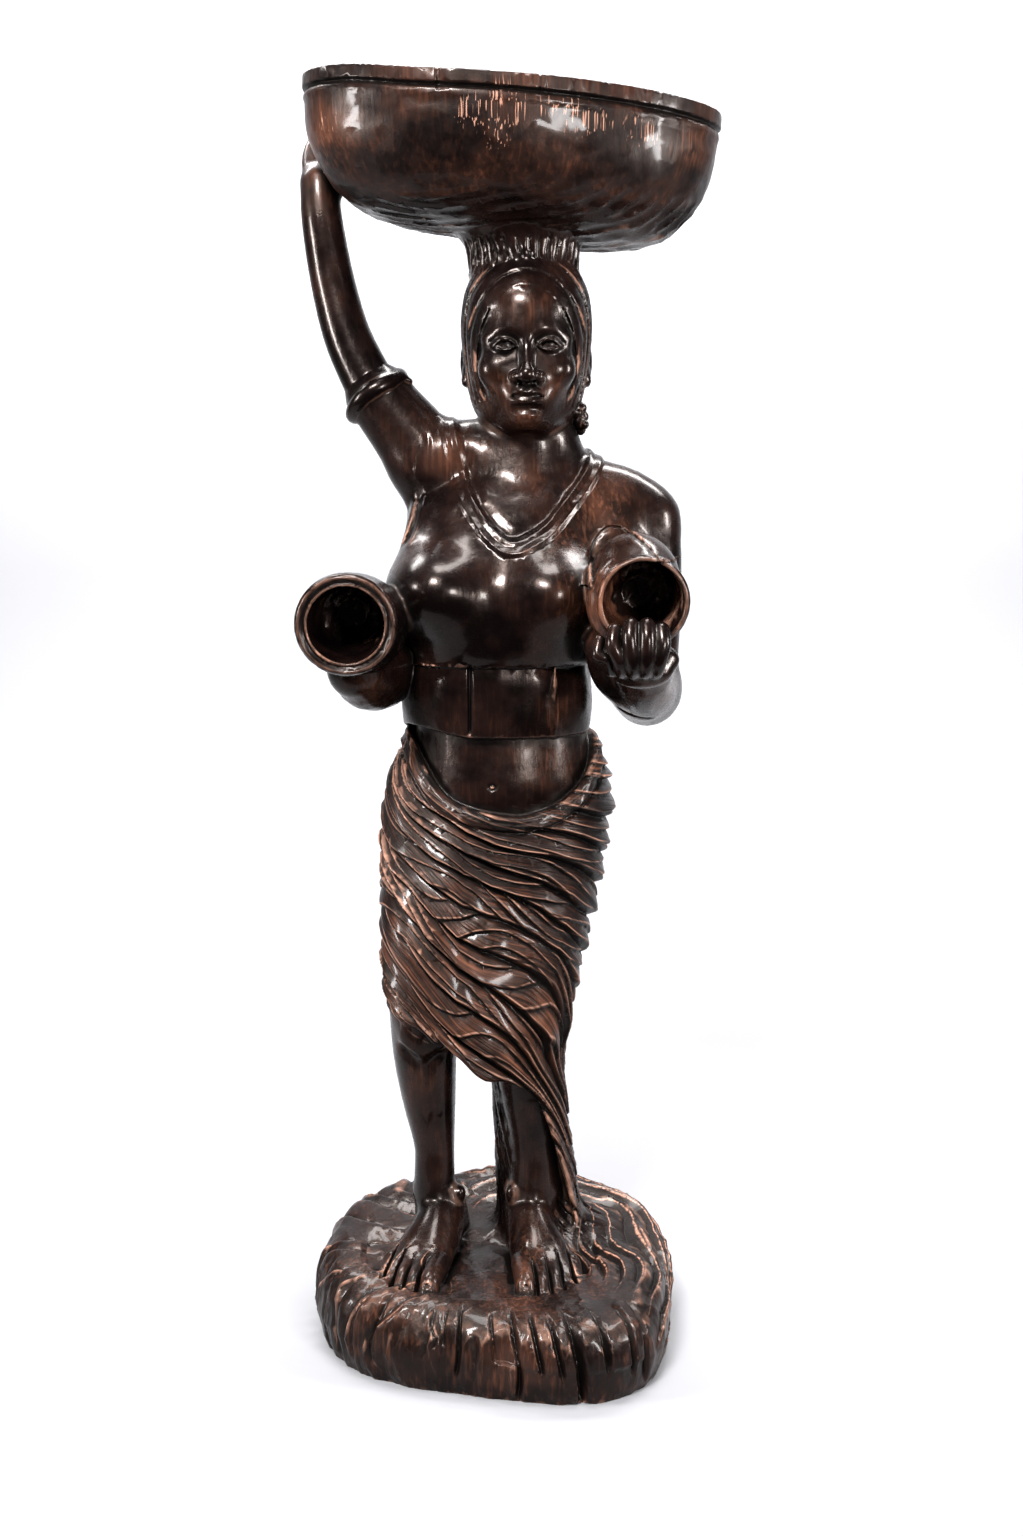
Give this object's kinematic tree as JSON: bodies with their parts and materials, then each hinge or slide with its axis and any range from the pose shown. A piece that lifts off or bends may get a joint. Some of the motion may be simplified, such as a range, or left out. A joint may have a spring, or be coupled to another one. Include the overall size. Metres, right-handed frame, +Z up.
{
  "type": "woman with basket figurine",
  "caption": "Tall carved wooden figure of a standing woman with a deep oval bowl on her head and jars at her sides, on a rounded base.",
  "frame": {"origin": "middle of the flat underside of the base", "axes": "+Z up along the figure, -Y the way she looks, +X towards her left hand"},
  "size_m": [0.5098, 0.469, 1.5442],
  "materials": {
    "dark_wood": "near-black stained hardwood under semi-gloss lacquer, rubbed to copper brown on the ridges"
  },
  "bodies": {
    "root": {"woman_with_basket": "dark_wood"}
  },
  "joints": []
}
